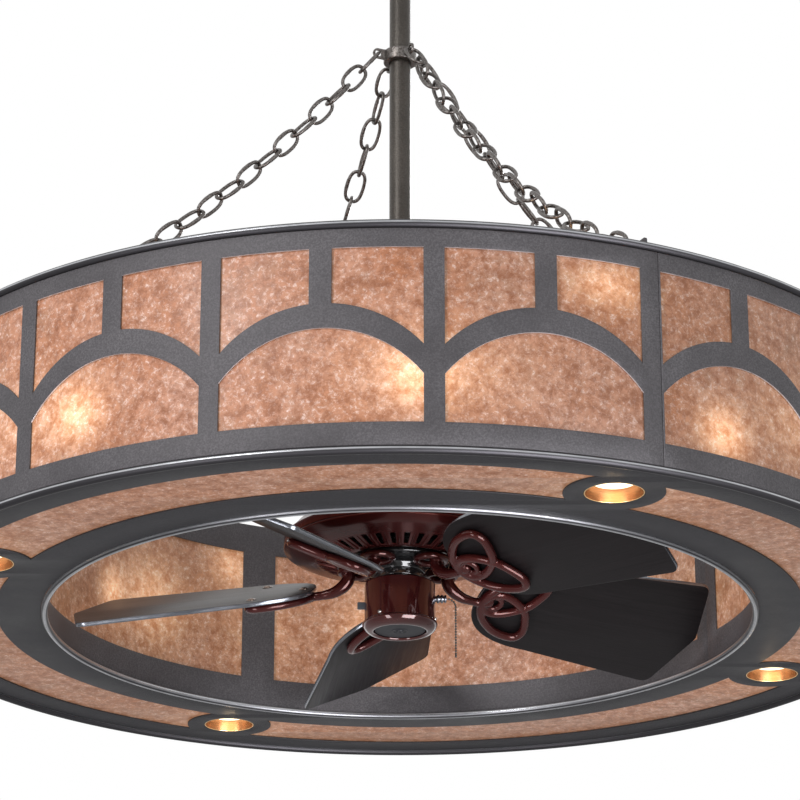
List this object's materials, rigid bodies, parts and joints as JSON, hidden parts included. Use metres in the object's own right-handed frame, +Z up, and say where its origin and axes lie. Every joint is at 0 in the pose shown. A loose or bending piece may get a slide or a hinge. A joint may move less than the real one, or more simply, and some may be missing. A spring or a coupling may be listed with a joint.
{
  "type": "downrod ceiling fan",
  "caption": "Downrod ceiling fan with pitched blades inside a chain-hung ring drum of mica panels with arched metal windows, downlights and a pull chain.",
  "frame": {"origin": "middle of the ceiling bracket's top face, where it meets the ceiling", "axes": "+Z up into the ceiling; -Y is the side that the picture sees; +X is the picture's right"},
  "size_m": [1.2202, 1.2202, 1.124],
  "materials": {
    "bronze": "speckled dark bronze powder coat",
    "mica": "mottled amber mica sheet",
    "mahogany": "glossy red-brown lacquer",
    "blade": "dark charcoal veneer on board",
    "black_iron": "black paint",
    "steel": "zinc plated",
    "winding": "laminated core with enamelled wire",
    "can": "copper-coloured spun can",
    "lamp_glass": "frosted reflector lamp",
    "cap": "satin slate grey",
    "switch_black": "moulded",
    "bead_chain": "nickel plated beads"
  },
  "bodies": {
    "ceiling_mount": {"ceiling_bracket": "steel", "canopy": "bronze"},
    "hanging_fan": {"ball_pin": "steel", "bottom_rim": "bronze", "chain_1": "bronze", "chain_2": "bronze", "chain_3": "bronze", "chain_4": "bronze", "chain_collar": "bronze", "coupling_bolt": "steel", "coupling_cover": "mahogany", "downlight_can_1": "can", "downlight_can_2": "can", "downlight_can_3": "can", "downlight_can_4": "can", "downlight_lamp_1": "lamp_glass", "downlight_lamp_2": "lamp_glass", "downlight_lamp_3": "lamp_glass", "downlight_lamp_4": "lamp_glass", "downrod": "bronze", "drum_section_1": "bronze", "drum_section_2": "bronze", "drum_section_3": "bronze", "drum_section_4": "bronze", "floor_mica": "mica", "floor_ring": "bronze", "hanger_ball": "black_iron", "inner_mica": "mica", "inner_rim": "bronze", "inner_wall": "bronze", "lamp_ring": "bronze", "lower_bearing": "steel", "motor_coupling": "black_iron", "motor_shaft": "steel", "outer_mica": "mica", "pull_switch": "switch_black", "reverse_switch": "switch_black", "set_screw": "steel", "stator": "winding", "switch_cap": "cap", "switch_housing": "mahogany", "top_rim": "bronze", "upper_bearing": "steel", "upper_housing": "mahogany", "vented_housing": "mahogany"},
    "rotor": {"rotor_shell": "black_iron", "flywheel": "black_iron", "blade_iron_1": "mahogany", "blade_iron_2": "mahogany", "blade_iron_3": "mahogany", "blade_iron_4": "mahogany", "blade_iron_5": "mahogany", "blade_1": "blade", "blade_2": "blade", "blade_3": "blade", "blade_4": "blade", "blade_5": "blade"},
    "pull_chain": {"pull_chain": "bead_chain"},
    "reverse_lever": {"reverse_lever": "switch_black"}
  },
  "joints": [
    {"name": "hanger_swing", "type": "hinge", "parent": "ceiling_mount", "child": "hanging_fan", "pos_m": [0, 0, -0.04], "axis": [1, 0, 0], "range_deg": [-15, 15]},
    {"name": "rotor_spin", "type": "hinge", "parent": "hanging_fan", "child": "rotor", "pos_m": [0, 0, -0.97], "axis": [0, 0, 1], "continuous": true},
    {"name": "pull_chain_slide", "type": "slide", "parent": "hanging_fan", "child": "pull_chain", "axis": [0, 0, -1], "range_m": [0, 0.012], "stiffness_N_per_m": 60},
    {"name": "reverse_lever_slide", "type": "slide", "parent": "hanging_fan", "child": "reverse_lever", "axis": [0, 0, 1], "range_m": [0, 0.006]}
  ]
}
